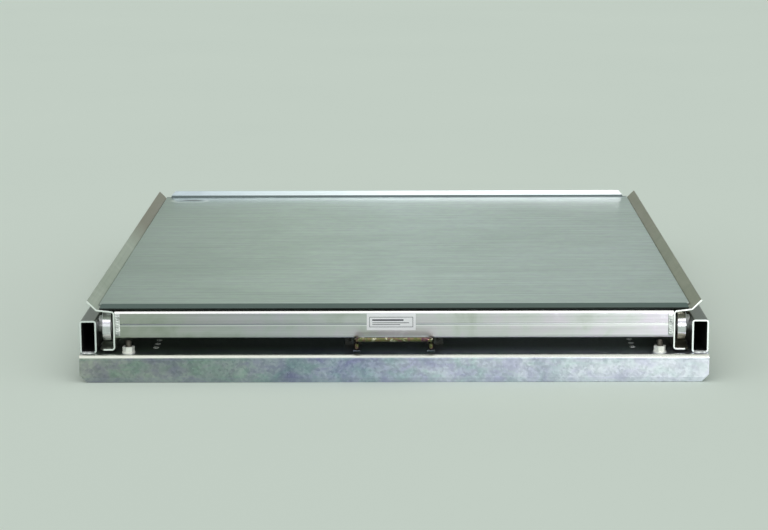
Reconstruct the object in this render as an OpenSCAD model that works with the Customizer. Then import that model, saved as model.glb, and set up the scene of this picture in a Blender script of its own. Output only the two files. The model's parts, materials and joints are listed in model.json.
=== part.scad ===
// Pallet pull-out unit: a steel tray that rolls out of a base frame seated on two rack beams.
// Millimetres, +Z up. The front faces -Y. The origin is the centre of the underside of the whole box.

/* [Base frame] */
// Width of the base frame over its side tubes
frame_w = 1130; // [900:5:1400]
// Distance between the outer faces of the front and rear hanging flanges
seat_span = 1015; // [950:5:1100]
// Length of each side tube
side_tube_len = 1150; // [1100:5:1190]
// Height of the hanging flanges, up to the top of the seat profiles
flange_h = 50; // [40:1:60]
// Depth of each seat profile's top
seat_top_d = 150; // [120:5:180]
// Sheet thickness of the seat profiles
seat_sheet = 4; // [3:0.5:5]
// Cut at the lower corners of the hanging flanges
flange_chamfer = 13; // [5:1:20]
// Height of the rolled steel side tubes
side_tube_h = 60; // [50:1:70]
// Width of the rolled steel side tubes
side_tube_w = 30; // [25:1:40]

/* [Tray] */
// Depth of the tray, front to back
tray_d = 1220; // [1210:5:1300]
// Sheet thickness of the tray's rails
tray_sheet = 3; // [2:0.5:3.5]
// Sheet thickness of the tray's plate
plate_sheet = 2; // [1.5:0.5:2.5]
// Clearance between the side tubes and the webs of the tray's rails
rail_gap = 30.5; // [30:0.5:32]
// Height of the plate's top above the underside of the base frame
plate_z = 133.5; // [133:0.5:135]
// Height of the tray's lips and rear stop above the underside of the base frame
lip_z = 148; // [144:0.5:155]
// How far the tray rolls out
travel = 800; // [600:10:800]

/* [Rollers] */
// Outer diameter of each ball bearing that serves as a roller
roller_d = 62; // [60:0.5:62]
// Width of each roller
roller_w = 16; // [12:1:16]
// Bore of each roller
roller_bore = 30; // [25:1:30]
// Number of balls in each roller
ball_count = 9; // [6:1:9]

/* [Handle] */
// Width of the latch handle over its bar
handle_w = 142; // [120:1:180]
// Diameter of the handle's bar
bar_d = 8; // [7:0.5:9]
// How far the grip's front stands before the tray's front
handle_reach = 28; // [24:1:30]
// Radius of the handle's pivot bolts
pivot_r = 3; // [2.5:0.5:3.5]

/* [Hidden] */

$fn = 48;
eps = 0.02;

// Depths are counted from the tray's front, which lies at y = front_y.
front_y = -(tray_d + handle_reach) / 2 + handle_reach;
function depth(d) = front_y + d;

// Base frame
flange_lead = 15;
bend_r = 3;
seat_lip_h = 22;
tube_wall = 3;
tube_corner_r = 5;
tube_in_x = frame_w / 2 - side_tube_w;
hole_r = 4.5;
hole_x = 433;
hole_pitch = 30;
hole_first_d = 45;

// Rails: the web stands inside the rollers, and the channel opens outwards.
web_x = tube_in_x - rail_gap - tray_sheet;
rail_clearance = 5;
rail_bottom_z = flange_h + rail_clearance;
rail_top_z = 127;
rail_foot_w = 28;
rail_top_slope = 6.5;
lip_angle = 45;

// Stop studs
stud_x = 478;
stud_d = 5;
stud_r = 6;
stud_top_z = 74;
nut_flats = 19;
nut_h = 9.5;
washer_r = 12;
washer_t = 2.5;

// Stop lugs: they meet the studs' rear sides when the tray is fully out.
lug_t = 6;
lug_w = 34;
lug_h = 40;
lug_bottom_z = flange_h + 15;
lug_d = travel + stud_d + stud_r;

// Cross tubes of the tray: the third carries the stop lugs.
cross_h = 50;
cross_w = 30;
rear_tube_inset = 3;
cross_d = [0, 395, lug_d + lug_t, tray_d - cross_w - rear_tube_inset];
cross_top_z = plate_z - plate_sheet;

// Plate
plate_w = 1066;
nose_len = 32.5;
nose_angle = 2.85;
nose_side_gap = 4;
upstand_w = 1045;
upstand_chamfer = 10;

// Rollers
roller_depths = [46, 216, 396, 880];
axle_reach = 8.5;
roller_x = tube_in_x - axle_reach - roller_w / 2;
roller_z = rail_top_z - tray_sheet - roller_d / 2;
shoulder_r = 16;
shoulder_flare = 2;
spigot_r = 10;
pitch_r = (roller_d + roller_bore) / 4;
ball_r = 4.75;
race_r = 5.1;
ring_wall = 5.2;
shield_t = 0.8;

// Closed stops
buffer_t = 8;
buffer_r = 8;
buffer_gap = 0.5;
bracket_t = 4;
bracket_w = 30;
bracket_foot = 28;
bracket_top_z = 76;
bracket_hole_r = 3;

// Hexagon screws of the brackets and of the handle's pivots
hex_flats = 10;
hex_head_h = 4;

// Latch handle
leg_x = (handle_w - bar_d) / 2;
grip_d = bar_d / 2 - handle_reach;
grip_z = 80.5;
arm_z = 69;
knee_d = 2;
pivot_d = 48;
pivot_z = 67;
eye_r = 7;
eye_w = 9;
prong_d = 9;
prong_r = 4.5;
prong_slot_len = 20;
prong_slot_mid = prong_d + 3;
prong_slot_play = 2.5;
prong_tip_z = flange_h + 3;
handle_lug_t = 4;
handle_bend_r = 9;
lug_eye_r = 11;
lug_gap = 1;
pin_x = leg_x + eye_w / 2;
lug_x = pin_x + lug_gap + handle_lug_t / 2;

// ---- Helpers ----

// Extrudes an outline drawn in x and z along +Y, from y0.
module along_y(y0, length) {
    translate([0, y0 + length, 0])
        rotate([90, 0, 0])
            linear_extrude(length)
                children();
}

// Extrudes an outline drawn in y and z along +X, from x0.
module along_x(x0, length) {
    translate([x0, 0, 0])
        rotate([90, 0, 90])
            linear_extrude(length)
                children();
}

// Draws its children on the right, and their mirror image on the left.
module both_sides() {
    for (side = [0, 1])
        mirror([side, 0, 0])
            children();
}

// A rectangle with round corners, from its lower left corner.
module round_rect(w, h, r) {
    translate([r, 0])
        square([w - 2 * r, h]);
    translate([0, r])
        square([w, h - 2 * r]);
    for (x = [r, w - r])
        for (y = [r, h - r])
            translate([x, y])
                circle(r);
}

// The wall of a rolled tube.
module tube_section(w, h, wall, r) {
    difference() {
        round_rect(w, h, r);
        translate([wall, wall])
            round_rect(w - 2 * wall, h - 2 * wall, r - wall);
    }
}

// A cylinder along +X from x0, centred on [y, z].
module rod_x(x0, length, r, y, z) {
    translate([x0, y, z])
        rotate([0, 90, 0])
            cylinder(h = length, r = r);
}

// A round bar between two points.
module bar(a, b, r) {
    run = b - a;
    translate(a)
        rotate([0, acos(run[2] / norm(run)), atan2(run[1], run[0])])
            cylinder(h = norm(run), r = r);
}

// A round bar along a path, with a round elbow at each corner.
function heading(p, i) = (p[i + 1] - p[i]) / norm(p[i + 1] - p[i]);
function corner_turn(p, i) = acos(heading(p, i - 1) * heading(p, i));
function corner_trim(p, i, bend) =
    i == 0 || i == len(p) - 1 ? 0 : bend * tan(corner_turn(p, i) / 2);
module elbow(p, i, bend, r) {
    along = heading(p, i - 1);
    normal = cross(along, heading(p, i)) / norm(cross(along, heading(p, i)));
    start = p[i] - corner_trim(p, i, bend) * along;
    out = -cross(normal, along);
    centre = start - bend * out;
    multmatrix([for (k = [0 : 2]) [out[k], along[k], normal[k], centre[k]]])
        rotate_extrude(angle = corner_turn(p, i))
            translate([bend, 0])
                circle(r);
}
// The straights run a little way into the elbows, which are a hair thicker and so swallow them.
module bent_bar(p, bend, r) {
    inset = 0.8;
    for (i = [0 : len(p) - 2])
        bar(p[i] + max(0, corner_trim(p, i, bend) - inset) * heading(p, i),
            p[i + 1] - max(0, corner_trim(p, i + 1, bend) - inset) * heading(p, i), r);
    for (i = [1 : len(p) - 2])
        elbow(p, i, bend, r + 0.05);
}

// Centre line of a folded sheet. Each move is a straight length and the turn of the bend after it.
function step(p, dir, length) = p + length * [cos(dir), sin(dir)];
function bend_frames(p, dir, turn, r) =
    let (steps = ceil(abs(turn) / 9), side = sign(turn), centre = step(p, dir + 90 * side, r))
    [for (k = [1 : steps]) let (a = dir + turn * k / steps) [step(centre, a - 90 * side, r), a]];
function fold_frames(moves, p, dir, r, i = 0) =
    i == len(moves) ? [] :
    let (end = step(p, dir, moves[i][0]), turn = moves[i][1])
    let (bent = abs(turn) > 0 ? bend_frames(end, dir, turn, r) : [])
    let (last = len(bent) > 0 ? bent[len(bent) - 1] : [end, dir])
    concat([[end, dir]], bent, fold_frames(moves, last[0], last[1], r, i + 1));

// Outline of a folded sheet of thickness t, whose bends have the inner radius r.
module folded_sheet(moves, start, dir, t, r) {
    frames = concat([[start, dir]], fold_frames(moves, start, dir, r + t / 2));
    left = [for (f = frames) step(f[0], f[1] + 90, t / 2)];
    right = [for (i = [len(frames) - 1 : -1 : 0]) step(frames[i][0], frames[i][1] - 90, t / 2)];
    polygon(concat(left, right));
}

// A small fillet weld along +X, drawn as a triangle with its right angle at [y, z].
module fillet_x(x0, length, y, z, leg_y, leg_z) {
    along_x(x0, length)
        polygon([[y, z], [y + leg_y, z], [y, z + leg_z]]);
}

// A small fillet weld along +Y, with its right angle at [x, z].
module fillet_y(y0, length, x, z, leg_x, leg_z) {
    along_y(y0, length)
        polygon([[x, z], [x + leg_x, z], [x, z + leg_z]]);
}

// ---- Base frame ----

// Seat profile: a hanging flange, a flat top on the beam, and a short lip behind the beam.
module seat_outline() {
    bend = bend_r + seat_sheet;
    folded_sheet(
        [[flange_h - bend, -90], [seat_top_d - 2 * bend, -90], [seat_lip_h - bend, 0]],
        [seat_sheet / 2, 0], 90, seat_sheet, bend_r);
}

module flange_corner_cuts() {
    for (x = [-frame_w / 2, frame_w / 2])
        translate([x, 0, 0])
            rotate([0, 45, 0])
                cube([flange_chamfer * sqrt(2), 2 * seat_sheet + eps, flange_chamfer * sqrt(2)],
                    center = true);
}

module seat_profile() {
    difference() {
        along_x(-frame_w / 2, frame_w)
            seat_outline();
        translate([0, seat_sheet / 2, 0])
            flange_corner_cuts();
        for (x = [-hole_x, hole_x])
            for (i = [0 : 2])
                translate([x, flange_lead + hole_first_d + i * hole_pitch, 0])
                    cylinder(h = flange_h + 1, r = hole_r);
    }
}

module front_seat_profile() {
    color("lightsteelblue")
        difference() {
            translate([0, depth(-flange_lead), 0])
                seat_profile();
            // Slots that the latch prongs drop into
            for (x = [-leg_x, leg_x])
                translate([x, depth(prong_slot_mid), flange_h])
                    cube([2 * (prong_r + prong_slot_play), prong_slot_len, 4 * seat_sheet],
                        center = true);
            // Tapped holes of the stop studs
            for (x = [-stud_x, stud_x])
                translate([x, depth(stud_d), flange_h / 2])
                    cylinder(h = flange_h, r = stud_r);
        }
}

module rear_seat_profile() {
    color("lightsteelblue")
        translate([0, depth(seat_span - flange_lead), 0])
            mirror([0, 1, 0])
                seat_profile();
}

module frame_tube(side) {
    color("slategray")
        difference() {
            along_y(depth(0), side_tube_len)
                translate([side > 0 ? tube_in_x : -frame_w / 2, flange_h])
                    tube_section(side_tube_w, side_tube_h, tube_wall, tube_corner_r);
            for (d = roller_depths)
                rod_x(side > 0 ? tube_in_x - 1 : -tube_in_x - tube_wall - 1, tube_wall + 2,
                    spigot_r, depth(d), roller_z);
        }
}

module left_frame_tube() {
    frame_tube(-1);
}

module right_frame_tube() {
    frame_tube(1);
}

// Beads where each side tube stands on the seat profiles: across its ends and along its inner side.
module frame_tube_welds() {
    bead = 5;
    run = 60;
    inset = 10;
    color("gainsboro")
        both_sides() {
            fillet_x(tube_in_x + tube_corner_r, side_tube_w - 2 * tube_corner_r,
                depth(0), flange_h, -bead, bead);
            for (d = [seat_top_d - flange_lead - run - inset,
                seat_span - flange_lead - seat_top_d + inset])
                fillet_y(depth(d), run, tube_in_x, flange_h, -bead, tube_corner_r);
        }
}

// ---- Rollers ----

// Repeats its children at every roller axis; the child's +X points outwards from the middle.
module at_rollers() {
    for (d = roller_depths)
        both_sides()
            translate([roller_x, depth(d), roller_z])
                children();
}

// Turned stub: bearing seat, shoulder against the inner ring, and a spigot in the tube's wall.
module roller_axles() {
    color("gray")
        at_rollers()
            rotate([0, 90, 0]) {
                translate([0, 0, -roller_w / 2])
                    cylinder(h = roller_w, r = roller_bore / 2);
                translate([0, 0, roller_w / 2])
                    cylinder(h = axle_reach, r1 = shoulder_r + shoulder_flare, r2 = shoulder_r);
                translate([0, 0, tube_in_x - roller_x])
                    cylinder(h = tube_wall, r = spigot_r);
            }
}

module inner_ring() {
    difference() {
        rod_x(-roller_w / 2, roller_w, roller_bore / 2 + ring_wall, 0, 0);
        rod_x(-roller_w / 2 - 1, roller_w + 2, roller_bore / 2, 0, 0);
        rotate([0, 90, 0])
            rotate_extrude()
                translate([pitch_r, 0])
                    circle(race_r);
    }
}

module roller_inner_rings() {
    color("silver")
        at_rollers()
            inner_ring();
}

module roller_balls() {
    color("white")
        at_rollers()
            for (i = [0 : ball_count - 1])
                rotate([i * 360 / ball_count, 0, 0])
                    translate([0, 0, pitch_r])
                        sphere(ball_r);
}

// Outer ring with its two shields, which turns as one roller.
module roller(side, d) {
    shield_gap = 0.6;
    shield_inset = 0.4;
    shield_in = roller_bore / 2 + ring_wall + shield_gap;
    shield_out = roller_d / 2 - ring_wall;
    edge = 0.8;
    color("silver")
        translate([side * roller_x, depth(d), roller_z])
            rotate([0, 90, 0]) {
                rotate_extrude($fn = 96)
                    difference() {
                        polygon([
                            [shield_out, -roller_w / 2],
                            [roller_d / 2 - edge, -roller_w / 2],
                            [roller_d / 2, edge - roller_w / 2],
                            [roller_d / 2, roller_w / 2 - edge],
                            [roller_d / 2 - edge, roller_w / 2],
                            [shield_out, roller_w / 2]]);
                        translate([pitch_r, 0])
                            circle(race_r);
                    }
                for (z = [shield_inset - roller_w / 2, roller_w / 2 - shield_inset - shield_t])
                    rotate_extrude($fn = 96)
                        translate([shield_in, z])
                            square([shield_out - shield_in, shield_t]);
            }
}

module roller_left_1() {
    roller(-1, roller_depths[0]);
}

module roller_left_2() {
    roller(-1, roller_depths[1]);
}

module roller_left_3() {
    roller(-1, roller_depths[2]);
}

module roller_left_4() {
    roller(-1, roller_depths[3]);
}

module roller_right_1() {
    roller(1, roller_depths[0]);
}

module roller_right_2() {
    roller(1, roller_depths[1]);
}

module roller_right_3() {
    roller(1, roller_depths[2]);
}

module roller_right_4() {
    roller(1, roller_depths[3]);
}

// ---- Stops of the base frame ----

module at_studs() {
    for (x = [-stud_x, stud_x])
        translate([x, depth(stud_d), flange_h])
            children();
}

module stop_studs() {
    chamfer = 1.2;
    length = stud_top_z - flange_h + seat_sheet;
    color("silver")
        at_studs()
            translate([0, 0, -seat_sheet]) {
                cylinder(h = length - chamfer, r = stud_r);
                translate([0, 0, length - chamfer])
                    cylinder(h = chamfer, r1 = stud_r, r2 = stud_r - chamfer);
            }
}

module stop_stud_nuts() {
    color("white")
        at_studs()
            translate([0, 0, washer_t])
                difference() {
                    rotate(12)
                        cylinder(h = nut_h, r = nut_flats / 2 / cos(30), $fn = 6);
                    translate([0, 0, -1])
                        cylinder(h = nut_h + 2, r = stud_r);
                }
}

module stop_stud_washers() {
    color("white")
        at_studs()
            difference() {
                cylinder(h = washer_t, r = washer_r);
                translate([0, 0, -1])
                    cylinder(h = washer_t + 2, r = stud_r);
            }
}

// Angle brackets on the front seat profile, whose buffers stop the handle's lugs when the tray closes.
buffer_face_d = pivot_d + lug_eye_r + buffer_gap;
bracket_d = buffer_face_d + buffer_t;
screw_d = bracket_foot / 2 + bracket_t / 2;

module at_brackets() {
    for (x = [-lug_x, lug_x])
        translate([x, depth(bracket_d), 0])
            children();
}

module closed_stop_brackets() {
    color("slategray")
        at_brackets()
            difference() {
                along_x(-bracket_w / 2, bracket_w)
                    polygon([[0, flange_h], [bracket_foot, flange_h],
                        [bracket_foot, flange_h + bracket_t], [bracket_t, flange_h + bracket_t],
                        [bracket_t, bracket_top_z], [0, bracket_top_z]]);
                translate([0, -1, pivot_z])
                    rotate([-90, 0, 0])
                        cylinder(h = bracket_t + 2, r = bracket_hole_r);
                translate([0, screw_d, flange_h - 1])
                    cylinder(h = bracket_t + 2, r = bracket_hole_r);
            }
}

module closed_stop_buffers() {
    taper = 1;
    stem_end = 3;
    color("dimgray")
        at_brackets()
            translate([0, 0, pivot_z])
                rotate([90, 0, 0]) {
                    cylinder(h = buffer_t, r1 = buffer_r, r2 = buffer_r - taper);
                    translate([0, 0, -bracket_t - stem_end])
                        cylinder(h = bracket_t + stem_end, r = bracket_hole_r);
                }
}

module closed_stop_screws() {
    color("silver")
        at_brackets()
            translate([0, screw_d, flange_h]) {
                cylinder(h = bracket_t, r = bracket_hole_r);
                translate([0, 0, bracket_t])
                    cylinder(h = hex_head_h, r = hex_flats / 2 / cos(30), $fn = 6);
            }
}

// ---- Tray ----

// Plate: a nose bent slightly down at the front and a stop bent up at the rear.
nose_start = 4.5;

module plate_outline() {
    rise = plate_z - plate_sheet / 2;
    bend = bend_r + plate_sheet;
    mid_r = bend_r + plate_sheet / 2;
    drop = nose_len * tan(nose_angle);
    flat_len = tray_d - nose_start - nose_len - mid_r * sin(nose_angle) - bend;
    folded_sheet(
        [[nose_len / cos(nose_angle), -nose_angle], [flat_len, 90], [lip_z - plate_z - bend_r, 0]],
        [nose_start, rise - drop], nose_angle, plate_sheet, bend_r);
}

// The nose is narrower than the plate, so that its ends clear the rails' sloping tops.
module nose_relief() {
    cut_h = 20;
    past_bend = 2;
    translate([plate_w / 2 - nose_side_gap, depth(0) - 1, plate_z - cut_h / 2])
        cube([nose_side_gap + 1, nose_start + nose_len + past_bend + 1, cut_h]);
}

// The ends of the rear stop are cut back, and its upper corners are chamfered.
module upstand_end_cut() {
    foot_z = plate_z + 0.5;
    slant_z = plate_z + 3;
    slant = 1.5;
    outer = plate_w / 2 + 1;
    inner = upstand_w / 2;
    along_y(depth(tray_d) - bend_r - plate_sheet - 1, bend_r + plate_sheet + 2)
        polygon([[outer, foot_z], [inner + slant, foot_z], [inner, slant_z],
            [inner, lip_z - upstand_chamfer], [inner - upstand_chamfer, lip_z + 1],
            [outer, lip_z + 1]]);
}

module tray_plate() {
    color("darkseagreen")
        difference() {
            along_x(-plate_w / 2, plate_w)
                translate([depth(0), 0])
                    plate_outline();
            both_sides() {
                nose_relief();
                upstand_end_cut();
            }
        }
}

// Rail: a channel that opens outwards, whose top runs out into the tray's lip.
module rail_outline() {
    bend = bend_r + tray_sheet;
    foot = rail_foot_w - bend;
    web = rail_top_z - rail_bottom_z - 2 * bend + 0.3;
    top_len = 25.5;
    lip_len = 22.5;
    folded_sheet(
        [[foot, -90], [web, -90 + rail_top_slope], [top_len, lip_angle - rail_top_slope],
            [lip_len, 0]],
        [web_x + rail_foot_w, rail_bottom_z + tray_sheet / 2], 180, tray_sheet, bend_r);
}

module rail() {
    clip = 7;
    difference() {
        along_y(depth(0), tray_d)
            rail_outline();
        // The foot's front outer corner is clipped
        translate([web_x + rail_foot_w, depth(0), rail_bottom_z - 1])
            linear_extrude(tray_sheet + 2)
                polygon([[1, -1], [-clip, -1], [-clip, 0], [0, clip], [1, clip]]);
    }
}

module left_rail() {
    color("darkgray")
        mirror([1, 0, 0])
            rail();
}

module right_rail() {
    color("darkgray")
        rail();
}

module cross_tube(d, top_z) {
    along_x(-web_x, 2 * web_x)
        translate([depth(d), top_z - cross_h])
            tube_section(cross_w, cross_h, tube_wall, tube_corner_r);
}

// The front tube carries a shallow rolled groove along the middle of its face.
module front_cross_tube() {
    groove_end = 14;
    groove_z = 104.5;
    groove_h = 2;
    groove_depth = 0.8;
    color("silver")
        difference() {
            cross_tube(cross_d[0], rail_top_z);
            along_x(-web_x + groove_end, 2 * (web_x - groove_end))
                translate([depth(0) - 1, groove_z - groove_h / 2])
                    square([groove_depth + 1, groove_h]);
        }
}

module second_cross_tube() {
    color("silver")
        cross_tube(cross_d[1], cross_top_z);
}

module third_cross_tube() {
    color("silver")
        cross_tube(cross_d[2], cross_top_z);
}

module rear_cross_tube() {
    color("silver")
        cross_tube(cross_d[3], cross_top_z);
}

// Vertical bead between a cross tube and a rail's web.
module column_weld(d, z0, height, leg) {
    both_sides()
        translate([web_x, depth(d), z0])
            linear_extrude(height)
                polygon([[0, 0], [0, -leg], [-leg, 0]]);
}

module front_tube_welds() {
    bead_w = 8;
    bead_t = 2;
    color("gainsboro")
        both_sides()
            translate([web_x - bead_w, depth(0) - bead_t, rail_top_z - cross_h + tube_corner_r])
                cube([bead_w, bead_t, cross_h - 2 * tube_corner_r]);
}

module cross_tube_welds() {
    height = cross_h - 2 * tube_corner_r;
    leg = 4;
    color("gainsboro")
        for (d = [cross_d[1], cross_d[2], cross_d[3]])
            column_weld(d, cross_top_z - cross_h + tube_corner_r, height, leg);
}

// Short beads under the plate, in the groove over the front corner of each hidden cross tube.
module plate_stitch_welds() {
    stitch = 40;
    stitch_x = [-380, -140, 140, 380];
    leg = 3.5;
    fit = 0.02;
    color("gainsboro")
        for (d = [cross_d[1], cross_d[2]])
            for (x = stitch_x)
                along_x(x - stitch / 2, stitch)
                    difference() {
                        polygon([[depth(d) - leg, cross_top_z], [depth(d) + leg, cross_top_z],
                            [depth(d), cross_top_z - leg]]);
                        translate([depth(d) + tube_corner_r, cross_top_z - tube_corner_r])
                            circle(tube_corner_r + fit);
                    }
}

module label_plate() {
    w = 88;
    h = 30;
    t = 0.8;
    centre_x = -4.5;
    bottom_z = 92;
    color("white")
        along_y(depth(0) - t, t)
            translate([centre_x - w / 2, bottom_z])
                round_rect(w, h, 1);
}

// Plates that meet the stop studs when the tray is fully out.
module stop_lugs() {
    color("darkgray")
        for (x = [-stud_x, stud_x])
            translate([x - lug_w / 2, depth(lug_d), lug_bottom_z])
                cube([lug_w, lug_t, lug_h]);
}

// ---- Latch handle ----

module handle_lugs() {
    top_z = rail_top_z - cross_h;
    foot_d = cross_w - 8;
    color("gray")
        for (side = [0, 1])
            mirror([side, 0, 0])
                along_x(lug_x - handle_lug_t / 2, handle_lug_t)
                    difference() {
                        union() {
                            translate([depth(pivot_d), pivot_z])
                                circle(lug_eye_r);
                            polygon([[depth(foot_d - 16), top_z], [depth(foot_d - 12), top_z - 12],
                                [depth(pivot_d), pivot_z - lug_eye_r + 0.5], [depth(pivot_d), pivot_z],
                                [depth(cross_w), top_z + 22], [depth(cross_w), top_z]]);
                        }
                        translate([depth(pivot_d), pivot_z])
                            circle(pivot_r + 0.05);
                    }
}

module at_pivots() {
    both_sides()
        translate([0, depth(pivot_d), pivot_z])
            children();
}

module handle_pivot_bolts() {
    thread_end = 9;
    shank = eye_w + 2 * lug_gap + handle_lug_t + thread_end;
    color("goldenrod")
        at_pivots() {
            rod_x(pin_x - eye_w - lug_gap, shank, pivot_r, 0, 0);
            translate([pin_x - eye_w - lug_gap - hex_head_h, 0, 0])
                rotate([0, 90, 0])
                    cylinder(h = hex_head_h, r = hex_flats / 2 / cos(30), $fn = 6);
        }
}

module handle_pivot_nuts() {
    pivot_nut_h = 5;
    color("goldenrod")
        at_pivots()
            translate([pin_x + lug_gap + handle_lug_t, 0, 0])
                rotate([0, 90, 0])
                    difference() {
                        cylinder(h = pivot_nut_h, r = hex_flats / 2 / cos(30), $fn = 6);
                        translate([0, 0, -1])
                            cylinder(h = pivot_nut_h + 2, r = pivot_r);
                    }
}

module handle_friction_washers() {
    play = 0.05;
    friction_r = 6;
    color("black")
        at_pivots()
            difference() {
                rod_x(pin_x + play, lug_gap - play, friction_r, 0, 0);
                rod_x(pin_x - 1, 3, pivot_r, 0, 0);
            }
}

// One bent bar: the grip, two legs that run down and back under the front tube, and an eye on each.
module handle_bar() {
    leg = [[leg_x, depth(grip_d), grip_z], [leg_x, depth(knee_d), arm_z],
        [leg_x, depth(pivot_d) - eye_r + 2, pivot_z]];
    mirrored = [for (i = [len(leg) - 1 : -1 : 0]) [-leg[i][0], leg[i][1], leg[i][2]]];
    color("goldenrod")
        difference() {
            union() {
                bent_bar(concat(mirrored, leg), handle_bend_r, bar_d / 2);
                at_pivots()
                    rod_x(leg_x - eye_w / 2, eye_w, eye_r, 0, 0);
            }
            at_pivots()
                rod_x(leg_x - eye_w, 2 * eye_w, pivot_r + 0.05, 0, 0);
        }
}

// Round prongs under the legs, which drop into the slots of the front seat profile.
prong_top_z = arm_z - 2.5;

module latch_prongs() {
    color("goldenrod")
        both_sides()
            difference() {
                translate([leg_x, depth(prong_d), prong_tip_z + prong_r]) {
                    sphere(prong_r);
                    cylinder(h = prong_top_z - prong_tip_z - prong_r, r = prong_r);
                }
                bar([leg_x, depth(knee_d), arm_z],
                    [leg_x, depth(pivot_d) - eye_r + 2, pivot_z], bar_d / 2);
            }
}

front_seat_profile();
rear_seat_profile();
left_frame_tube();
right_frame_tube();
frame_tube_welds();
roller_axles();
roller_inner_rings();
roller_balls();
stop_studs();
stop_stud_nuts();
stop_stud_washers();
closed_stop_brackets();
closed_stop_buffers();
closed_stop_screws();
roller_left_1();
roller_left_2();
roller_left_3();
roller_left_4();
roller_right_1();
roller_right_2();
roller_right_3();
roller_right_4();
tray_plate();
left_rail();
right_rail();
front_cross_tube();
second_cross_tube();
third_cross_tube();
rear_cross_tube();
front_tube_welds();
cross_tube_welds();
plate_stitch_welds();
label_plate();
stop_lugs();
handle_lugs();
handle_pivot_bolts();
handle_pivot_nuts();
handle_friction_washers();
handle_bar();
latch_prongs();
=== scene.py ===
"""Looks of a pallet pull-out unit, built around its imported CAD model. Metres, the front faces -Y."""

import json
import math
import random

import bmesh
import bpy
from mathutils import Matrix, Vector, noise


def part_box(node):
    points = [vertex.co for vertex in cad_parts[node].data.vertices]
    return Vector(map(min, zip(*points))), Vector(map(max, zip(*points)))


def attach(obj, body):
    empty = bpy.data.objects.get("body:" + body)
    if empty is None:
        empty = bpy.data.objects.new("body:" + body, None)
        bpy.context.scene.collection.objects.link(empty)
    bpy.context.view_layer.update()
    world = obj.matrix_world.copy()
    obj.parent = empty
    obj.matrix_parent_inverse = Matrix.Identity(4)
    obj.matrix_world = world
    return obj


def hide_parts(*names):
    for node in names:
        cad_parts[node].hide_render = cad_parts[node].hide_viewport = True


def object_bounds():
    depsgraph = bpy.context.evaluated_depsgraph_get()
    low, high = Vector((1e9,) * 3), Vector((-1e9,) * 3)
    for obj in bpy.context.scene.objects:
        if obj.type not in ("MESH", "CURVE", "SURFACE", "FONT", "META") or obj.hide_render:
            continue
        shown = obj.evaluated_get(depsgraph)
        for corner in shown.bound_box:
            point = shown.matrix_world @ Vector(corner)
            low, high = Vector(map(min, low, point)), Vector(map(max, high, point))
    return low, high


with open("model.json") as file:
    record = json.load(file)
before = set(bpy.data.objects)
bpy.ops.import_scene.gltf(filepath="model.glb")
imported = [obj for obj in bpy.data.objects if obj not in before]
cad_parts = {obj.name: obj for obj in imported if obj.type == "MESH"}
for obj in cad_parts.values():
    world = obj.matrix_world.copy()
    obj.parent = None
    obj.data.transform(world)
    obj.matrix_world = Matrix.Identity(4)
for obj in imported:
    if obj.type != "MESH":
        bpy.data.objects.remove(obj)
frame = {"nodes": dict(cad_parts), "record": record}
cad_low, cad_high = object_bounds()
cad_nodes = frame["nodes"]
MM = 0.001

# Reference places, read from the CAD model
tube_low, tube_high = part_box("front_cross_tube")
side_low, side_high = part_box("right_frame_tube")
plate_low, plate_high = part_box("tray_plate")
hidden_tubes = [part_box(node) for node in ("second_cross_tube", "third_cross_tube", "rear_cross_tube")]
front_y = tube_low.y
web_x = tube_high.x
base_top_z = side_low.z
# The plate, of 2 mm sheet, lies on the hidden cross tubes
plate_bottom_z = hidden_tubes[0][1].z
plate_flat_z = plate_bottom_z + 2 * MM


# ---- Shader nodes ----

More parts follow.
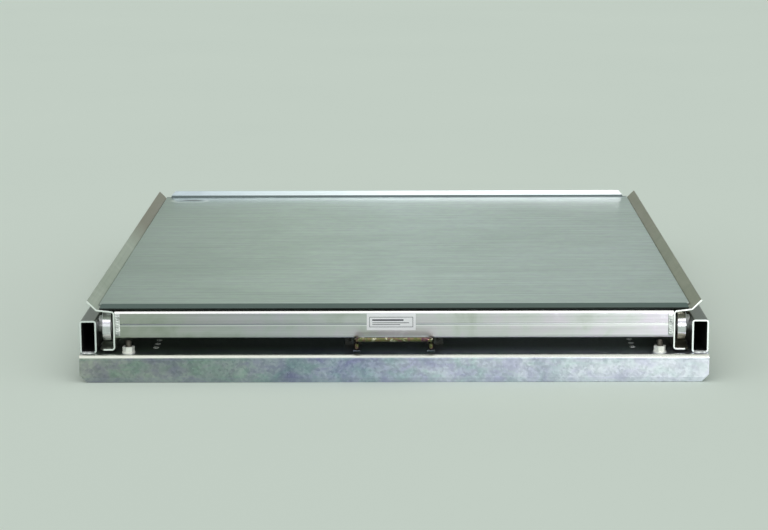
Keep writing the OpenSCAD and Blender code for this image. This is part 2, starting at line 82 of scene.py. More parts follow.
class Nodes:
    """Short calls for the shader nodes that the materials and the world share."""

    def __init__(self, tree, coordinates):
        self.tree = tree
        self.place = self.node("ShaderNodeTexCoord").outputs[coordinates]

    def node(self, kind, **settings):
        made = self.tree.nodes.new(kind)
        for key, value in settings.items():
            setattr(made, key, value)
        return made

    def wire(self, source, socket):
        self.tree.links.new(source, socket)

    def fill(self, socket, value):
        """Gives the socket a number, a colour or another node's output."""
        if isinstance(value, tuple):
            socket.default_value = (*value, 1.0)
        elif isinstance(value, (int, float)):
            socket.default_value = value
        else:
            self.wire(value, socket)

    def axis(self, letter):
        parts = self.node("ShaderNodeSeparateXYZ")
        self.wire(self.place, parts.inputs["Vector"])
        return parts.outputs[letter]

    def ramp(self, value, stops):
        made = self.node("ShaderNodeValToRGB")
        bar = made.color_ramp.elements
        while len(bar) < len(stops):
            bar.new(0.5)
        for element, (position, colour) in zip(bar, stops):
            element.position = position
            element.color = (*colour, 1.0)
        self.wire(value, made.inputs["Fac"])
        return made.outputs["Color"]

    def remap(self, value, low, high, from_low=0.0, from_high=1.0):
        made = self.node("ShaderNodeMapRange")
        made.inputs["From Min"].default_value = from_low
        made.inputs["From Max"].default_value = from_high
        made.inputs["To Min"].default_value = low
        made.inputs["To Max"].default_value = high
        self.wire(value, made.inputs["Value"])
        return made.outputs["Result"]

    def mix(self, factor, a, b, blend="MIX"):
        made = self.node("ShaderNodeMix", data_type="RGBA", blend_type=blend)
        first, second = [socket for socket in made.inputs if socket.type == "RGBA"]
        self.fill(made.inputs["Factor"], factor)
        self.fill(first, a)
        self.fill(second, b)
        return next(socket for socket in made.outputs if socket.type == "RGBA")

    def tinted(self, colour, tone):
        """One colour multiplied by another."""
        return self.mix(1.0, colour, tone, "MULTIPLY")

    def math(self, operation, a, b=0.0):
        made = self.node("ShaderNodeMath", operation=operation)
        self.fill(made.inputs[0], a)
        self.fill(made.inputs[1], b)
        return made.outputs["Value"]

    def plus(self, a, b):
        return self.math("ADD", a, b)

    def minus(self, a, b):
        return self.math("SUBTRACT", a, b)

    def times(self, a, b):
        return self.math("MULTIPLY", a, b)

    def distance(self, value, level):
        return self.math("ABSOLUTE", self.minus(value, level))

    def rises(self, value, edge, soft):
        """0 below edge, 1 above it."""
        return self.remap(value, 0.0, 1.0, edge - soft, edge + soft)

    def falls(self, value, edge, soft):
        """1 below edge, 0 above it."""
        return self.remap(value, 1.0, 0.0, edge - soft, edge + soft)


class Paint(Nodes):
    """A Principled material. Its nodes work in the piece's own coordinates, which are the frame's at rest."""

    def __init__(self, name, metallic=0.0):
        self.material = bpy.data.materials.new(name)
        self.material.use_nodes = True
        super().__init__(self.material.node_tree, "Object")
        self.shader = self.tree.nodes["Principled BSDF"]
        self.shader.inputs["Metallic"].default_value = metallic

    def link(self, source, name):
        self.wire(source, self.shader.inputs[name])

    def scaled(self, scale):
        mapping = self.node("ShaderNodeMapping")
        mapping.inputs["Scale"].default_value = scale
        self.wire(self.place, mapping.inputs["Vector"])
        return mapping.outputs["Vector"]

    def noise(self, scale, detail=3.0, rough=0.5, stretch=None, distortion=0.0):
        made = self.node("ShaderNodeTexNoise")
        made.inputs["Scale"].default_value = scale
        made.inputs["Detail"].default_value = detail
        made.inputs["Roughness"].default_value = rough
        made.inputs["Distortion"].default_value = distortion
        self.wire(self.scaled(stretch) if stretch else self.place, made.inputs["Vector"])
        return made.outputs["Fac"]

    def cells(self, scale):
        """A random tone for each Voronoi cell."""
        made = self.node("ShaderNodeTexVoronoi")
        made.inputs["Scale"].default_value = scale
        self.wire(self.place, made.inputs["Vector"])
        tone = self.node("ShaderNodeSeparateColor")
        self.wire(made.outputs["Color"], tone.inputs["Color"])
        return tone.outputs["Red"]

    def across(self, stops):
        """Colours from the left end of the unit to its right end."""
        half_width = 0.53
        return self.ramp(self.remap(self.axis("X"), 0.0, 1.0, -half_width, half_width), stops)

    def upward(self):
        """1 where the surface faces up, 0 where it is upright."""
        parts = self.node("ShaderNodeSeparateXYZ")
        self.wire(self.node("ShaderNodeNewGeometry").outputs["Normal"], parts.inputs["Vector"])
        return parts.outputs["Z"]

    def oval(self, centre, half):
        """1 on the outline of an ellipse in x and y, 0 at its centre."""
        across = self.math("DIVIDE", self.minus(self.axis("X"), centre[0]), half[0])
        along = self.math("DIVIDE", self.minus(self.axis("Y"), centre[1]), half[1])
        return self.math("SQRT", self.plus(self.times(across, across), self.times(along, along)))

    def bump(self, height, distance, strength):
        made = self.node("ShaderNodeBump")
        made.inputs["Strength"].default_value = strength
        made.inputs["Distance"].default_value = distance
        self.wire(height, made.inputs["Height"])
        self.link(made.outputs["Normal"], "Normal")


# ---- Camera, floor and light ----

def aimed(obj, place, yaw, pitch, roll):
    """Puts obj at place, looking along +Y turned by yaw to the right and pitch downwards, then rolled."""
    ahead = Vector((math.sin(yaw) * math.cos(pitch), math.cos(yaw) * math.cos(pitch), -math.sin(pitch)))
    right = Vector((math.cos(yaw), -math.sin(yaw), 0.0))
    up = right.cross(ahead)
    tilt = Matrix.Rotation(-roll, 3, ahead)
    axes = Matrix((tilt @ right, tilt @ up, -ahead)).transposed()
    obj.matrix_world = Matrix.Translation(place) @ axes.to_4x4()


def make_camera():
    """A long lens about 4 m before the unit and 1 m above it, aimed a little down and to the left."""
    data = bpy.data.cameras.new("camera")
    data.sensor_width = 36.0
    data.lens = 105.7
    data.clip_end = 60.0
    camera = bpy.data.objects.new("camera", data)
    bpy.context.scene.collection.objects.link(camera)
    to_right, before_front, above_base = 0.025, 3.949, 0.936
    place = Vector((to_right, front_y - before_front, base_top_z + above_base))
    aimed(camera, place, math.radians(-0.61), math.radians(11.1), math.radians(-0.25))
    bpy.context.scene.camera = camera


def make_floor():
    half, gap_below = 30.0, 0.5 * MM
    corners = [(-half, -half, 0), (half, -half, 0), (half, half, 0), (-half, half, 0)]
    mesh = bpy.data.meshes.new("floor")
    mesh.from_pydata(corners, [], [(0, 1, 2, 3)])
    floor = bpy.data.objects.new("floor", mesh)
    floor.location.z = cad_low.z - gap_below
    bpy.context.scene.collection.objects.link(floor)
    paint = Paint("floor_paint")
    paint.shader.inputs["Roughness"].default_value = 0.9
    paint.shader.inputs["Specular IOR Level"].default_value = 0.0
    cloud = paint.noise(0.8, 3)
    paint.link(paint.ramp(cloud, [(0.3, (0.790, 0.880, 0.786)), (0.7, (0.804, 0.894, 0.798))]), "Base Color")
    floor.data.materials.append(paint.material)


def make_light(name, place, target, size, power):
    """A softbox that the metals mirror. The world lights the floor, so the floor stays even."""
    data = bpy.data.lights.new(name, "AREA")
    data.shape = "RECTANGLE"
    data.size, data.size_y = size
    data.energy = power
    light = bpy.data.objects.new(name, data)
    light.location = place
    light.rotation_euler = (Vector(target) - Vector(place)).to_track_quat("-Z", "Y").to_euler()
    light.visible_diffuse = False
    bpy.context.scene.collection.objects.link(light)


def make_world():
    """A pale backdrop up to 15 degrees of height, a dim band above it, and a pale ceiling."""
    world = bpy.data.worlds.new("studio")
    world.use_nodes = True
    room = Nodes(world.node_tree, "Generated")
    bands = room.ramp(room.axis("Z"), [
        (0.00, (0.50, 0.58, 0.51)), (0.26, (0.56, 0.64, 0.575)), (0.36, (0.16, 0.18, 0.175)),
        (0.62, (0.24, 0.26, 0.25)), (0.80, (0.72, 0.74, 0.73)), (1.00, (0.80, 0.81, 0.80))])
    # The room is brighter in front of the unit, which lights its upright faces
    before = room.remap(room.axis("Y"), 0.0, 1.0, 0.2, -1.0)
    background = world.node_tree.nodes["Background"]
    room.wire(room.mix(before, bands, (0.62, 0.60, 0.66), "ADD"), background.inputs["Color"])
    background.inputs["Strength"].default_value = 1.0
    bpy.context.scene.world = world


def make_lights():
    make_world()
    make_light("right_front_softbox", (1.15, -2.3, 0.24), (0.2, -0.6, 0.08), (1.0, 0.42), 12)
    make_light("high_front_softbox", (0.1, -3.2, 2.3), (0.0, -0.6, 0.1), (3.4, 1.4), 15)
    make_light("top_softbox", (0.2, -1.0, 2.8), (0.0, -0.2, 0.0), (2.4, 1.6), 5)
    bpy.context.scene.view_settings.view_transform = "Standard"


# ---- Materials ----

def galvanised():
    """Hot-dip zinc: blotches of blue, green and violet grey, small spangle; painted shade at the left end,
    painted light towards the right end and painted highlights on the bends.
    """
    paint = Paint("galvanised", metallic=1.0)
    cloud = paint.noise(13, 4, 0.62, distortion=0.9)
    tint = paint.noise(24, 4, 0.6, stretch=(1.0, 1.0, 1.7), distortion=0.6)
    spangle = paint.cells(230)
    cool = paint.ramp(cloud, [
        (0.32, (0.36, 0.39, 0.62)), (0.50, (0.60, 0.64, 0.76)), (0.68, (0.82, 0.86, 0.90))])
    warm = paint.ramp(tint, [
        (0.36, (0.56, 0.48, 0.74)), (0.50, (0.66, 0.68, 0.74)), (0.64, (0.52, 0.72, 0.62))])
    flecks = paint.ramp(spangle, [(0.0, (0.78, 0.78, 0.81)), (1.0, (1.0, 1.0, 1.0))])
    body = paint.tinted(paint.mix(0.5, cool, warm), flecks)
    # The blotches fade towards the right end
    body = paint.mix(paint.remap(paint.axis("X"), 0.0, 0.6, -0.1, 0.5), body, (0.66, 0.70, 0.76))
    # Painted light: darker at the left end and lighter at the right end, as the light falls from the right
    body = paint.tinted(body, paint.across([
        (0.0, (0.56, 0.59, 0.49)), (0.22, (0.50, 0.56, 0.50)), (0.42, (0.68, 0.73, 0.80)),
        (0.62, (1.00, 1.02, 1.03)), (1.0, (1.07, 1.05, 1.04))]))
    facing = paint.upward()
    # Painted highlight on the bends that face partly up, where they catch the light from above the front
    bend = paint.times(paint.rises(facing, 0.22, 0.10), paint.falls(facing, 0.985, 0.01))
    bend_highlight_tone = paint.across([(0.0, (0.66, 0.68, 0.59)), (1.0, (0.54, 0.56, 0.48))])
    body = paint.mix(paint.times(bend, 0.9), body, bend_highlight_tone)
    # Painted shade: under the tray, the zinc's upward faces are darkened
    flat = paint.rises(facing, 0.99, 0.005)
    shade_under_tray = paint.times(flat, paint.rises(paint.axis("Y"), front_y + 30 * MM, 25 * MM))
    body = paint.mix(paint.times(shade_under_tray, 0.8), body, (0.07, 0.075, 0.065))
    # Two faint folding marks along the flange, and painted shade on a darker strip at its lower edge
    height = paint.axis("Z")
    for level in (base_top_z - 9.5 * MM, 7 * MM):
        mark = paint.falls(paint.distance(height, level), 0.5 * MM, 0.3 * MM)
        body = paint.mix(paint.times(mark, 0.35), body, (0.30, 0.34, 0.42))
    shaded_lower_edge = paint.falls(height, 6.5 * MM, 2 * MM)
    body = paint.mix(paint.times(shaded_lower_edge, 0.3), body, (0.30, 0.35, 0.38))
    paint.link(body, "Base Color")
    paint.link(paint.plus(paint.remap(cloud, 0.26, 0.44), paint.remap(spangle, -0.04, 0.05)), "Roughness")
    fine = paint.noise(900, 2, 0.6, stretch=(1.0, 1.0, 0.3))
    paint.bump(paint.plus(paint.times(cloud, 0.6), paint.times(fine, 0.08)), 0.0012, 0.35)
    return paint.material


def with_seam_and_painted_light(paint, body):
    """Adds a painted highlight on the upper edge, and along the middle of the face, where the rolls met, a
    painted shade line and a painted highlight line that grow lighter towards the right.
    """
    facing = paint.upward()
    # Painted highlight on the rounded upper edge
    edge = paint.times(paint.rises(facing, 0.30, 0.12), paint.falls(facing, 0.998, 0.001))
    body = paint.mix(edge, body, (1.0, 1.0, 0.96))
    height = paint.minus(paint.axis("Z"), (tube_low.z + tube_high.z) / 2)
    # Painted shade in the seam's groove at the left end, which turns to painted light towards the right
    seam_shade_line = paint.falls(paint.distance(height, 1.0 * MM), 1.2 * MM, 0.25 * MM)
    body = paint.mix(seam_shade_line, body, paint.across([
        (0.0, (0.22, 0.24, 0.25)), (0.6, (0.42, 0.45, 0.47)), (1.0, (0.80, 0.82, 0.80))]))
    # Painted highlight just below the seam
    seam_highlight_line = paint.falls(paint.distance(height, -1.3 * MM), 0.6 * MM, 0.25 * MM)
    return paint.mix(seam_highlight_line, body, paint.across([(0.0, (0.74, 0.77, 0.75)), (1.0, (1.0, 1.0, 1.0))]))


def drawn_steel(name, stops, lines, painted_light_across=None, seam=False, painted_far_reflection=0.0, lit_cut_end=None):
    """Rolled and zinc-plated steel, whose fine lines run along the axis with the smallest value in lines."""
    paint = Paint(name, metallic=1.0)
    strokes = paint.noise(1.0, 4, 0.65, stretch=lines)
    cloud = paint.noise(11, 4, 0.6, distortion=0.6)
    grain = paint.ramp(strokes, [(0.3, (0.84, 0.84, 0.84)), (0.7, (1.0, 1.0, 1.0))])
    body = paint.tinted(paint.ramp(cloud, stops), grain)
    # Painted light across the unit, darker at the left end and lighter at the right end
    if painted_light_across:
        body = paint.tinted(body, paint.across(painted_light_across))
    if seam:
        body = with_seam_and_painted_light(paint, body)
    if painted_far_reflection:
        # Painted reflection: the far part of the rail turns brown
        far_reflection = paint.times(paint.rises(paint.axis("Y"), front_y + 0.72, 0.12), painted_far_reflection)
        body = paint.mix(far_reflection, body, (0.26, 0.18, 0.13))
    if lit_cut_end:
        # The sawn end is bare cut steel, painted lighter where it catches the light from the front
        painted_cut_face = paint.falls(paint.axis("Y"), front_y + 0.8 * MM, 0.2 * MM)
        body = paint.mix(painted_cut_face, body, lit_cut_end)
    paint.link(body, "Base Color")
    paint.link(paint.plus(paint.remap(strokes, 0.26, 0.38), paint.remap(cloud, -0.04, 0.05)), "Roughness")
    paint.bump(paint.plus(strokes, paint.times(cloud, 0.7)), 0.0003, 0.25)
    return paint.material


def with_scrape(paint, body):
    """Adds an old scrape at the rear left corner: a light crescent round a dark gouge."""
    y_place = paint.axis("Y")
    ring = paint.oval((-0.475, plate_high.y - 0.050), (0.044, 0.030))
    rim = paint.times(paint.rises(ring, 0.80, 0.08), paint.falls(ring, 1.02, 0.08))
    rim = paint.times(rim, paint.falls(y_place, plate_high.y - 0.040, 0.012))
    body = paint.mix(paint.times(rim, 0.8), body, (0.92, 0.97, 0.90))
    gouge = paint.falls(paint.oval((-0.470, plate_high.y - 0.046), (0.024, 0.007)), 0.9, 0.2)
    return paint.mix(gouge, body, (0.07, 0.08, 0.07))


def tray_sheet():
    """Satin zinc sheet: fine cross grain, cloudy patches and one old scrape. Painted light: a lighter middle,
    a painted reflection of the dark on the bent nose, painted shade on the front edge and in the rear stop's
    bend, a painted highlight on the stop.
    """
    paint = Paint("tray_sheet", metallic=1.0)
    strokes = paint.noise(1.0, 4, 0.75, stretch=(4.0, 170.0, 170.0))
    cloud = paint.noise(3.4, 4, 0.6, distortion=0.7)
    mottle = paint.noise(46, 3, 0.6)
    body = paint.ramp(cloud, [
        (0.32, (0.60, 0.69, 0.65)), (0.50, (0.66, 0.75, 0.71)), (0.68, (0.70, 0.79, 0.76))])
    grain = paint.ramp(strokes, [(0.32, (0.80, 0.80, 0.81)), (0.68, (1.08, 1.08, 1.08))])
    speck = paint.ramp(mottle, [(0.30, (0.94, 0.92, 0.96)), (0.70, (1.02, 1.04, 1.01))])
    body = paint.tinted(paint.tinted(body, grain), speck)
    # Painted light: darker at the left end, lightest in the middle
    body = paint.tinted(body, paint.across([
        (0.0, (0.84, 0.86, 0.84)), (0.30, (1.17, 1.18, 1.15)), (0.50, (1.32, 1.31, 1.34)),
        (1.0, (1.12, 1.10, 1.14))]))
    # The nose, up to its bend, is the colour of the dark that it mirrors
    y_place, nose_depth = paint.axis("Y"), 37 * MM
    body = paint.mix(paint.falls(y_place, front_y + nose_depth, 0.8 * MM), body, (0.135, 0.218, 0.205))
    # Painted shade: the front cut edge is made near black, for the dark line between the nose and the tube
    # below it
    painted_cut_face = paint.falls(y_place, plate_low.y + 0.3 * MM, 0.2 * MM)
    body = paint.mix(painted_cut_face, body, (0.035, 0.040, 0.038))
    # Rear stop: painted shade in its bend, and a painted highlight on the stop above it, lighter to the right
    height = paint.minus(paint.axis("Z"), plate_flat_z)
    stop = paint.rises(height, 4.2 * MM, 0.6 * MM)
    bend = paint.times(paint.rises(height, 0.3 * MM, 0.2 * MM), paint.minus(1.0, stop))
    body = paint.mix(bend, body, (0.12, 0.15, 0.15))
    body = paint.mix(stop, body, paint.across([(0.0, (0.72, 0.78, 0.85)), (0.6, (0.96, 0.97, 0.97))]))
    paint.link(with_scrape(paint, body), "Base Color")
    paint.link(paint.plus(paint.remap(strokes, 0.27, 0.37), paint.remap(mottle, -0.03, 0.03)), "Roughness")
    paint.bump(paint.plus(strokes, mottle), 0.0002, 0.25)
    return paint.material


def weld_metal():
    """Plated weld bead: bright, uneven, a little rough."""
    paint = Paint("weld_metal", metallic=1.0)
    grit = paint.noise(420, 4, 0.7)
    cloud = paint.noise(90, 3, 0.5)
    paint.link(paint.ramp(cloud, [(0.35, (0.30, 0.32, 0.31)), (0.65, (0.80, 0.83, 0.80))]), "Base Color")
    paint.link(paint.remap(grit, 0.25, 0.55), "Roughness")
    paint.bump(grit, 0.0006, 0.6)
    return paint.material


def turned_steel(name, colour, rough):
    """Turned or ground steel with fine rings round the X axis."""
    paint = Paint(name, metallic=1.0)
    rings = paint.noise(1.0, 2, 0.5, stretch=(2600.0, 30.0, 30.0))
    smear = paint.noise(70, 3, 0.6)
    dark = tuple(part * 0.82 for part in colour)
    paint.link(paint.ramp(smear, [(0.3, dark), (0.65, colour)]), "Base Color")
    paint.link(paint.remap(rings, *rough), "Roughness")
    paint.bump(rings, 0.0001, 0.2)
    return paint.material


def plated_fastener(name, low, high, metallic, thread=0.0):
    """Plated screws, nuts and washers; a stud has its thread as fine rings, thread apart."""
    paint = Paint(name, metallic)
    cloud = paint.noise(160, 3, 0.5)
    paint.link(paint.ramp(cloud, [(0.3, low), (0.7, high)]), "Base Color")
    paint.link(paint.remap(cloud, 0.24, 0.40), "Roughness")
    height = paint.noise(700, 2, 0.5)
    if thread:
        rings = paint.math("PINGPONG", paint.axis("Z"), thread / 2)
        height = paint.plus(paint.times(rings, 2.0 / thread), paint.times(height, 0.2))
    paint.bump(height, 0.0006 if thread else 0.0002, 0.8 if thread else 0.3)
    return paint.material


def yellow_chromate():
    """Yellow chromate on steel: dull gold that drifts to olive, rose and violet."""
    paint = Paint("yellow_chromate", metallic=1.0)
    drift = paint.noise(62, 3, 0.6, distortion=1.4)
    paint.link(paint.ramp(drift, [
        (0.34, (0.07, 0.030, 0.06)), (0.42, (0.15, 0.075, 0.08)), (0.49, (0.17, 0.15, 0.065)),
        (0.57, (0.09, 0.11, 0.04)), (0.66, (0.60, 0.56, 0.42))]), "Base Color")
    paint.link(paint.remap(drift, 0.14, 0.30), "Roughness")
    paint.bump(paint.noise(420, 3, 0.5), 0.0003, 0.4)
    return paint.material


def rubber():
    paint = Paint("rubber")
    grit = paint.noise(900, 3, 0.6)
    paint.link(paint.ramp(grit, [(0.3, (0.012, 0.012, 0.012)), (0.7, (0.035, 0.034, 0.033))]), "Base Color")
    paint.link(paint.remap(grit, 0.55, 0.8), "Roughness")
    paint.bump(grit, 0.0004, 0.5)
    return paint.material


def label_film(name, low, high):
    """Printed self-adhesive film."""
    paint = Paint(name)
    wrinkle = paint.noise(45, 3, 0.5)
    paint.link(paint.ramp(wrinkle, [(0.3, low), (0.7, high)]), "Base Color")
    paint.link(paint.remap(wrinkle, 0.34, 0.48), "Roughness")
    paint.bump(wrinkle, 0.0003, 0.2)
    return paint.material


GALVANISED = galvanised()
TRAY_SHEET = tray_sheet()
# The front tube carries painted light, darker at its left end and lighter at its right end
TUBE_STEEL = drawn_steel(
    "tube_steel",
    [(0.30, (0.50, 0.54, 0.47)), (0.48, (0.62, 0.64, 0.61)), (0.62, (0.66, 0.62, 0.66)),
        (0.74, (0.80, 0.83, 0.82))],
    lines=(2.0, 260.0, 260.0), seam=True,
    painted_light_across=[(0.0, (0.71, 0.74, 0.67)), (0.30, (0.82, 0.85, 0.88)), (0.55, (1.12, 1.12, 1.14)),
        (1.0, (1.13, 1.11, 1.18))])
# Painted shade: the side tubes are made dark, as they lie in the tray's shade
SHADED_SIDE_STEEL = drawn_steel(
    "shaded_side_steel", [(0.30, (0.20, 0.20, 0.20)), (0.70, (0.32, 0.32, 0.31))],
    lines=(260.0, 2.0, 260.0), lit_cut_end=(0.85, 0.90, 0.88))
LEFT_RAIL_STEEL = drawn_steel(
    "left_rail_steel", [(0.30, (0.50, 0.54, 0.46)), (0.70, (0.68, 0.70, 0.63))],
    lines=(220.0, 3.0, 220.0), painted_far_reflection=0.75, lit_cut_end=(0.92, 0.96, 0.92))
# Painted shade: the right rail is the left rail's steel made darker, as its lip faces away from the light
SHADED_RIGHT_RAIL_STEEL = drawn_steel(
    "shaded_right_rail_steel", [(0.30, (0.26, 0.26, 0.18)), (0.70, (0.44, 0.42, 0.33))],
    lines=(220.0, 3.0, 220.0), painted_far_reflection=0.35, lit_cut_end=(0.92, 0.96, 0.92))
WELD_METAL = weld_metal()
TURNED_STEEL = turned_steel("turned_steel", (0.62, 0.64, 0.64), rough=(0.28, 0.42))
BEARING_STEEL = turned_steel("bearing_steel", (0.80, 0.80, 0.83), rough=(0.12, 0.22))
FASTENER = plated_fastener("plated_fastener", (0.88, 0.88, 0.80), (0.98, 0.98, 0.92), 0.3)
# Painted shade: studs and pivot bolts, plated like the nuts, are made dark as they stand in the front tube's
# shade
SHADED_STUD_STEEL = plated_fastener("shaded_stud_steel", (0.05, 0.05, 0.04), (0.13, 0.12, 0.10), 1.0, thread=1.75 * MM)
# Painted shade: lugs and brackets deep under the front tube and the tray are made near black, as they stand
# in shade
SHADED_BRACKET = drawn_steel(
    "shaded_bracket", [(0.30, (0.03, 0.035, 0.03)), (0.70, (0.07, 0.07, 0.06))], lines=(200.0, 200.0, 3.0))
CHROMATE = yellow_chromate()
RUBBER = rubber()
LABEL_WHITE = label_film("label_white", (0.93, 0.92, 0.95), (0.97, 0.96, 0.98))
LABEL_PRINT = label_film("label_print", (0.06, 0.06, 0.08), (0.11, 0.11, 0.13))

SLOT_MATERIALS = {
    "galvanised": GALVANISED,
    "tube_steel": TUBE_STEEL,
    "rail_steel": LEFT_RAIL_STEEL,
    "tray_steel": TRAY_SHEET,
    "weld": WELD_METAL,
    "turned_steel": TURNED_STEEL,
    "bearing_steel": BEARING_STEEL,
    "plated_fastener": FASTENER,
    "buffer_rubber": RUBBER,
    "label": LABEL_WHITE,
    "yellow_chromate": CHROMATE,
}
# Nodes whose own material stands in for their slot's
NODE_MATERIALS = {
    "left_frame_tube": SHADED_SIDE_STEEL,
    "right_frame_tube": SHADED_SIDE_STEEL,
    "stop_studs": SHADED_STUD_STEEL,
    "handle_lugs": SHADED_BRACKET,
    "handle_pivot_bolts": SHADED_STUD_STEEL,
    "handle_pivot_nuts": SHADED_STUD_STEEL,
    "stop_lugs": SHADED_BRACKET,
    "closed_stop_brackets": SHADED_BRACKET,
}
slot_of = {part["node"]: part["material_slot"] for part in frame["record"]["subparts"]}


def paint_cad_nodes():
    for name, obj in cad_nodes.items():
        material = NODE_MATERIALS.get(name, SLOT_MATERIALS[slot_of[name]])
        obj.data.materials.clear()
        obj.data.materials.append(material)


# ---- Pieces ----

def body_of_node(node):
    return next(body for body, members in frame["record"]["behaviour"]["bodies"].items() if node in members)


def new_piece(name, mesh, material, body, slot, *replaced):
    obj = bpy.data.objects.new(name, mesh)
    bpy.context.scene.collection.objects.link(obj)
    mesh.materials.clear()
    mesh.materials.append(material)
    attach(obj, body)
    if replaced:
        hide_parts(*replaced)
    return obj


def mesh_of(name, draw):
    """A mesh of what draw adds to an empty bmesh, with its faces turned outwards."""
    work = bmesh.new()
    draw(work)
    bmesh.ops.recalc_face_normals(work, faces=work.faces)
    mesh = bpy.data.meshes.new(name)
    work.to_mesh(mesh)
    work.free()
    return mesh


def rounded_copy(node, name, material):
    """A copy of a CAD node whose sharp edges are rounded off, as on real folded or rolled steel."""
    radius, same_place, flat_angle, sharp_angle = 0.5 * MM, 1e-6, math.radians(0.4), math.radians(25)
    mesh = cad_nodes[node].data.copy()
    work = bmesh.new()
    work.from_mesh(mesh)
    bmesh.ops.remove_doubles(work, verts=work.verts, dist=same_place)
    bmesh.ops.dissolve_limit(work, angle_limit=flat_angle, verts=work.verts, edges=work.edges)
    edges = [e for e in work.edges if len(e.link_faces) == 2 and e.calc_face_angle(0.0) > sharp_angle]
    bmesh.ops.bevel(
        work, geom=edges, offset=radius, segments=2, profile=0.5, affect="EDGES", clamp_overlap=True)
    for face in work.faces:
        face.smooth = True
    work.to_mesh(mesh)
    work.free()
    obj = new_piece(name, mesh, material, body_of_node(node), slot_of[node], node)
    weighted = obj.modifiers.new("even_shading", "WEIGHTED_NORMAL")
    weighted.weight = 80
    weighted.keep_sharp = False


def make_rounded_copies():
    for node, name, material in (
        ("tray_plate", "tray_plate_sheet", TRAY_SHEET),
        ("left_rail", "left_rail_sheet", LEFT_RAIL_STEEL),
        ("right_rail", "right_rail_sheet", SHADED_RIGHT_RAIL_STEEL),
        ("front_seat_profile", "front_seat_sheet", GALVANISED),
        ("rear_seat_profile", "rear_seat_sheet", GALVANISED),
        ("left_frame_tube", "left_side_tube", SHADED_SIDE_STEEL),
        ("right_frame_tube", "right_side_tube", SHADED_SIDE_STEEL),
        ("front_cross_tube", "front_tube", TUBE_STEEL),
    ):
        rounded_copy(node, name, material)


def end_taper(widths):
    """Share of a bead's full height at so many bead widths from its end; the caller caps it at 1."""
    return math.sin(math.pi * min(1.0, widths / 0.9) / 2) + 0.25


def draw_bead(work, start, end, face, width, height, pitch, seed):
    """A weld bead from start to end: overlapping crescents on a rounded ridge that stands along face."""
    start, end, face = Vector(start), Vector(end), Vector(face).normalized()
    along = (end - start).normalized()
    side = along.cross(face).normalized()
    length = (end - start).length
    rows_per_crescent, columns = 7, 12
    rows = max(8, round(length / pitch * rows_per_crescent))
    rng = random.Random(seed)
    drift = [rng.uniform(-1, 1) for _ in range(rows // rows_per_crescent + 3)]
    grid = []
    for i in range(rows + 1):
        t = i / rows
        taper = min(1.0, end_taper(t * length / width), end_taper((1 - t) * length / width))
        line = []
        for j in range(columns + 1):
            u = j / columns * 2 - 1
            # A crescent lies further back in the middle of the bead, and rises until the next one begins
            bow = pitch * 1.1 * (1 - u * u)
            phase = (t * length + bow) / pitch
            crescent = math.floor(phase)
            lap = phase - crescent
            ridge = math.sqrt(max(0.0, 1 - u * u))
            lift = ridge * (0.42 + 0.58 * lap) * taper
            reach = width / 2 * (0.9 + 0.1 * taper + 0.05 * drift[crescent % len(drift)])
            place = start + along * (t * length) + side * (u * reach)
            wobble = noise.noise(place * 420) * 0.12 * ridge
            line.append(work.verts.new(place + face * height * max(0.0, lift + wobble)))
        grid.append(line)
    for a, b in zip(grid, grid[1:]):
        for j in range(columns):
            work.faces.new((a[j], b[j], b[j + 1], a[j + 1])).smooth = True
    # The flat underside and the two ends close the bead
    work.faces.new([line[0] for line in reversed(grid)] + [line[-1] for line in grid])
    work.faces.new(list(reversed(grid[0])))
    work.faces.new(grid[-1])


def make_beads(name, node, lines):
    """Beads in place of a CAD node's plain prisms; a line is start, end, face, width, height and pitch."""
    def draw(work):
        for seed, line in enumerate(lines, start=11):
            draw_bead(work, *line, seed=seed)

    new_piece(name, mesh_of(name, draw), WELD_METAL, body_of_node(node), slot_of[node], node)


def front_tube_lines():
    """Up each end of the front tube, beside the rail's web."""
    x, y = web_x - 5 * MM, front_y + 0.2 * MM
    bottom, top = tube_low.z + 4.5 * MM, tube_high.z - 4.5 * MM
    return [
        ((side * x, y, bottom), (side * x, y, top), (0, -1, 0), 10 * MM, 2.6 * MM, 4.6 * MM)
        for side in (-1, 1)]


def side_tube_lines():
    """Across the foot of each side tube's front end, and along its inner foot on both seat profiles."""
    lines = []
    front, inset = front_y - 0.6 * MM, 3 * MM
    inner, bead_starts, bead_length = side_low.x - 0.6 * MM, (0.065, 0.860), 0.060
    for side in (-1, 1):
        z = base_top_z + 0.6 * MM
        lines.append((
            (side * (side_low.x + inset), front, z), (side * (side_high.x - inset), front, z),
            (0, -1, 1), 8 * MM, 3.4 * MM, 4 * MM))
        for bead_start in bead_starts:
            y, z = front_y + bead_start, base_top_z + 1 * MM
            lines.append((
                (side * inner, y, z), (side * inner, y + bead_length, z),
                (-side, 0, 1), 7 * MM, 2.6 * MM, 4 * MM))
    return lines


def cross_tube_lines():
    """Up the front corner at each end of each hidden cross tube."""
    lines = []
    for side in (-1, 1):
        for low, high in hidden_tubes:
            x, y = side * (web_x - 1 * MM), low.y - 0.5 * MM
            bottom, top = low.z + 5 * MM, high.z - 5 * MM
            lines.append(((x, y, bottom), (x, y, top), (-side, -1, 0), 6 * MM, 2.4 * MM, 4 * MM))
    return lines


def plate_stitch_lines():
    """Under the plate, before the second and the third cross tube."""
    half, z = 20 * MM, plate_bottom_z - 0.8 * MM
    lines = []
    for x in (-0.38, -0.14, 0.14, 0.38):
        for low, _ in hidden_tubes[:2]:
            y = low.y - 0.2 * MM
            lines.append(((x - half, y, z), (x + half, y, z), (0, -1, -1), 5 * MM, 1.8 * MM, 4 * MM))
    return lines


def make_welds():
    make_beads("front_tube_beads", "front_tube_welds", front_tube_lines())
    make_beads("side_tube_beads", "frame_tube_welds", side_tube_lines())
    make_beads("cross_tube_beads", "cross_tube_welds", cross_tube_lines())
    make_beads("plate_stitch_beads", "plate_stitch_welds", plate_stitch_lines())


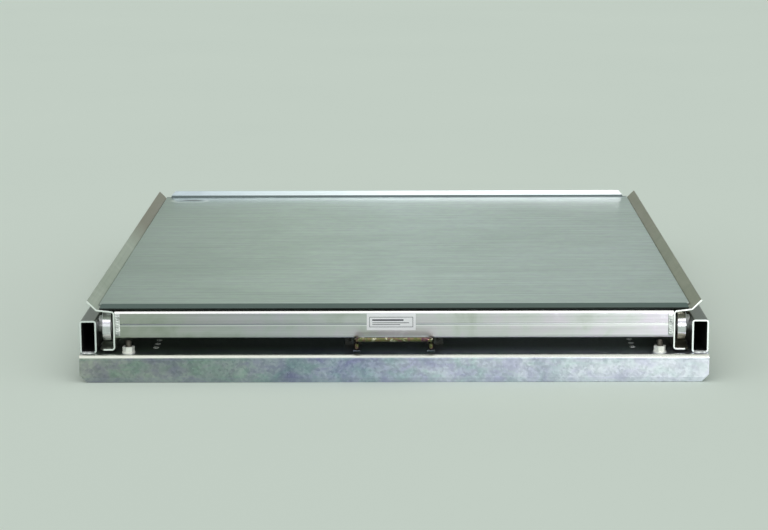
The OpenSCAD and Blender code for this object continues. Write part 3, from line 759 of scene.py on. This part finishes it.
def seat_holes():
    """x, y and radius of each hole in the seat profiles, from the record's pairs of holes."""
    holes = set()
    for mount in frame["record"]["mounts"]:
        if mount["kind"] == "bolt_pattern":
            x, y, _ = mount["pos_m"]
            half = mount["dims"]["spacing_y_mm"] * MM / 2
            for hole_y in (y - half, y + half):
                holes.add((round(x, 5), round(hole_y, 5), mount["dims"]["hole_r_mm"] * MM))
    return sorted(holes)


def draw_hole_rim(work, x, y, hole_r):
    """A low ring of metal round a hole's upper edge."""
    burr, around, section = 0.55 * MM, 24, 8
    loops = []
    for i in range(around):
        turn = 2 * math.pi * i / around
        loop = []
        for j in range(section):
            bend = 2 * math.pi * j / section
            r, z = hole_r + burr * (0.6 + math.cos(bend)), base_top_z + burr * (0.3 + math.sin(bend))
            loop.append(work.verts.new((x + r * math.cos(turn), y + r * math.sin(turn), z)))
        loops.append(loop)
    for i in range(around):
        a, b = loops[i], loops[(i + 1) % around]
        for j in range(section):
            k = (j + 1) % section
            work.faces.new((a[j], b[j], b[k], a[k])).smooth = True


def make_hole_rims():
    """The burr that a punch leaves round each hole of the seat profiles."""
    def draw(work):
        for hole in seat_holes():
            draw_hole_rim(work, *hole)

    body = body_of_node("front_seat_profile")
    new_piece("seat_hole_rims", mesh_of("seat_hole_rims", draw), FASTENER, body, "galvanised")


def draw_slab(work, x0, x1, z0, z1, y0, y1, corner=0.0):
    """A flat plate across Y, with round corners when corner is given."""
    outline = [(x1, z1), (x0, z1), (x0, z0), (x1, z0)]
    if corner:
        steps = 5
        centres = [
            (x1 - corner, z1 - corner), (x0 + corner, z1 - corner), (x0 + corner, z0 + corner),
            (x1 - corner, z0 + corner)]
        outline = []
        for quarter, (cx, cz) in enumerate(centres):
            for k in range(steps + 1):
                angle = math.radians(90 * quarter + 90 * k / steps)
                outline.append((cx + corner * math.cos(angle), cz + corner * math.sin(angle)))
    front = [work.verts.new((x, y0, z)) for x, z in outline]
    back = [work.verts.new((x, y1, z)) for x, z in outline]
    work.faces.new(front)
    work.faces.new(list(reversed(back)))
    for i in range(len(outline)):
        j = (i + 1) % len(outline)
        work.faces.new((front[i], back[i], back[j], front[j]))


def make_label():
    """A white card with a thin border and plain bars in place of its print."""
    low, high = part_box("label_plate")
    body = body_of_node("label_plate")
    cx, cz = (low.x + high.x) / 2, (low.z + high.z) / 2
    card_y, card_back_y = front_y - 0.45 * MM, front_y - 0.02 * MM
    print_y = (card_y - 0.12 * MM, card_y + 0.02 * MM)

    def card(work):
        draw_slab(work, low.x, high.x, low.z, high.z, card_y, card_back_y, corner=1 * MM)

    def border(work):
        half_w, half_h, line = 39.3 * MM, 9.4 * MM, 0.9 * MM
        for z in (cz + half_h - line, cz - half_h):
            draw_slab(work, cx - half_w, cx + half_w, z, z + line, *print_y)
        for x in (cx - half_w, cx + half_w - line):
            draw_slab(work, x, x + line, cz - half_h + line, cz + half_h - line, *print_y)

    def bars(work):
        left = cx - 34 * MM
        for width, height, rise in ((56, 3.0, 3.6), (66, 1.1, -1.4), (50, 1.1, -4.6)):
            bottom, top = cz + (rise - height / 2) * MM, cz + (rise + height / 2) * MM
            draw_slab(work, left, left + width * MM, bottom, top, *print_y)

    new_piece("label_card", mesh_of("label_card", card), LABEL_WHITE, body, "label", "label_plate")
    new_piece("label_border", mesh_of("label_border", border), LABEL_PRINT, body, "label")
    new_piece("label_bars", mesh_of("label_bars", bars), LABEL_PRINT, body, "label")


paint_cad_nodes()
make_rounded_copies()
make_welds()
make_hole_rims()
make_label()
make_camera()
make_floor()
make_lights()
